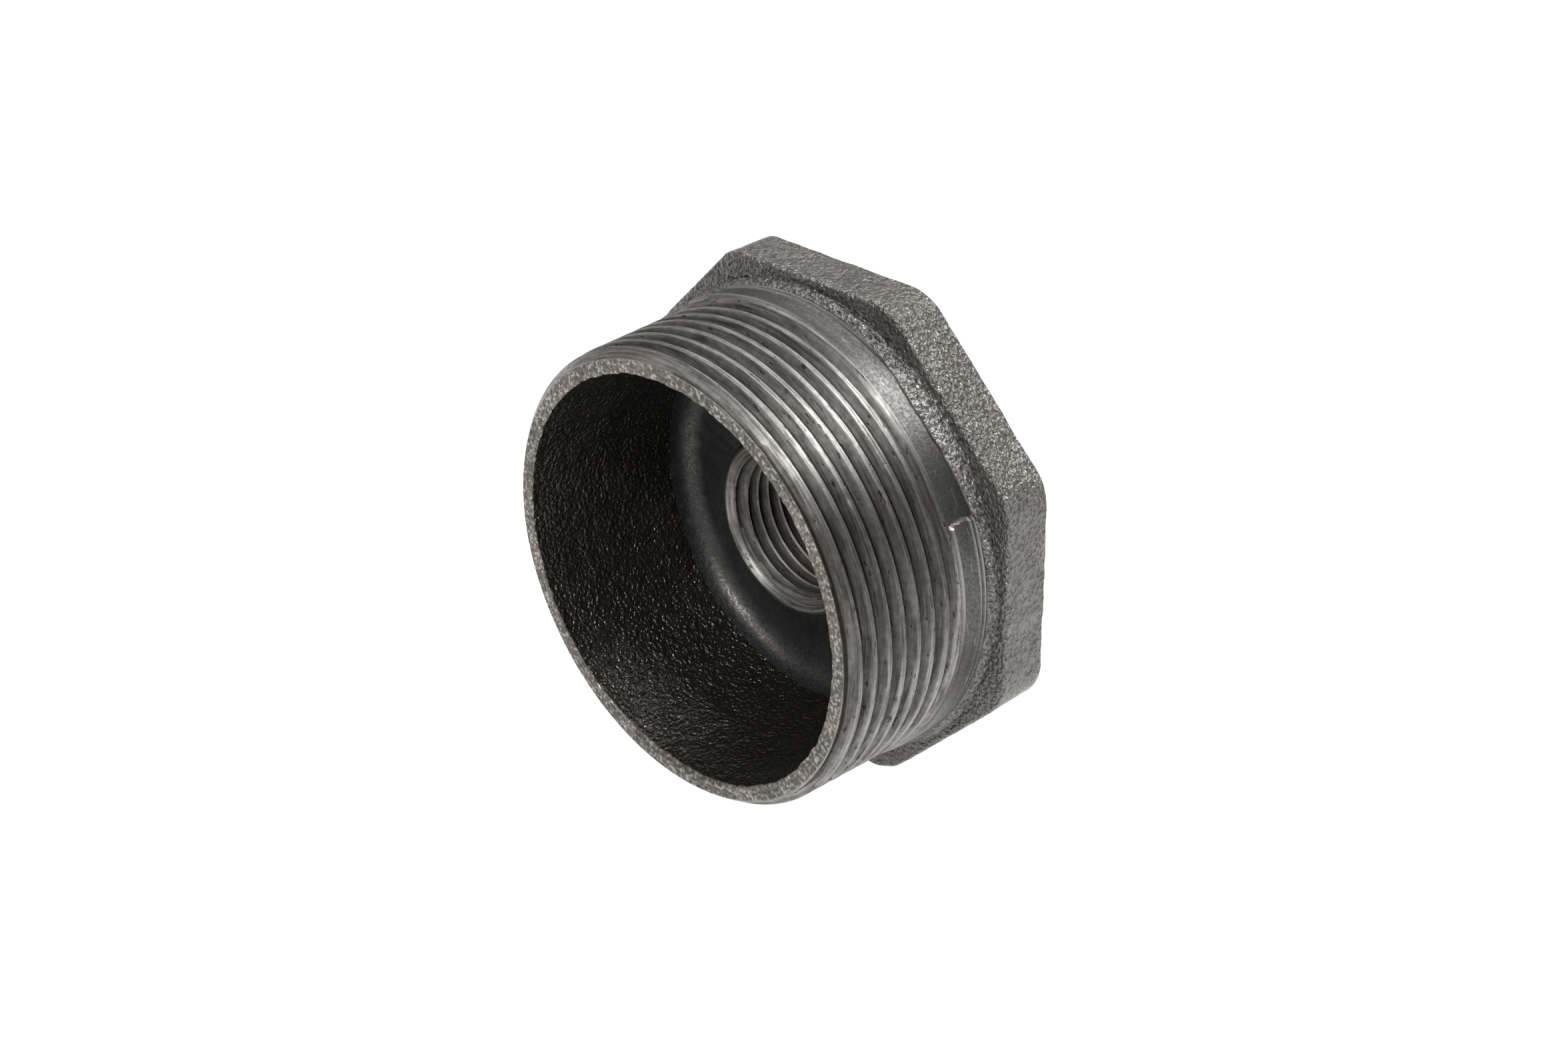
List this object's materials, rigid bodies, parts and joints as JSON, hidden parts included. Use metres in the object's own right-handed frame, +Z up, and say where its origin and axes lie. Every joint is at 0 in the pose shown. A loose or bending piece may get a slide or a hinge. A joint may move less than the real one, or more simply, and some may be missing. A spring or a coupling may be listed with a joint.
{
  "type": "threaded reducing bushing",
  "caption": "Threaded reducing bushing with an eight-sided head, a male taper pipe thread outside, a smaller female pipe thread inside and an open cast cavity behind it.",
  "frame": {"origin": "centre of the head's outer face, on the axis of both threads", "axes": "+Y out of the head's outer face along the axis of both threads, so the open male end points to -Y; +Z up, with one flat of the head facing down; +X to the right seen from the male end"},
  "size_m": [0.0644, 0.03, 0.0644],
  "materials": {
    "black_iron": "black malleable cast iron, oiled: sand-cast head and cavity, cut threads and turned collar with a dull sheen, bare machined rim with light rust specks"
  },
  "bodies": {
    "root": {"bushing": "black_iron"}
  },
  "joints": []
}
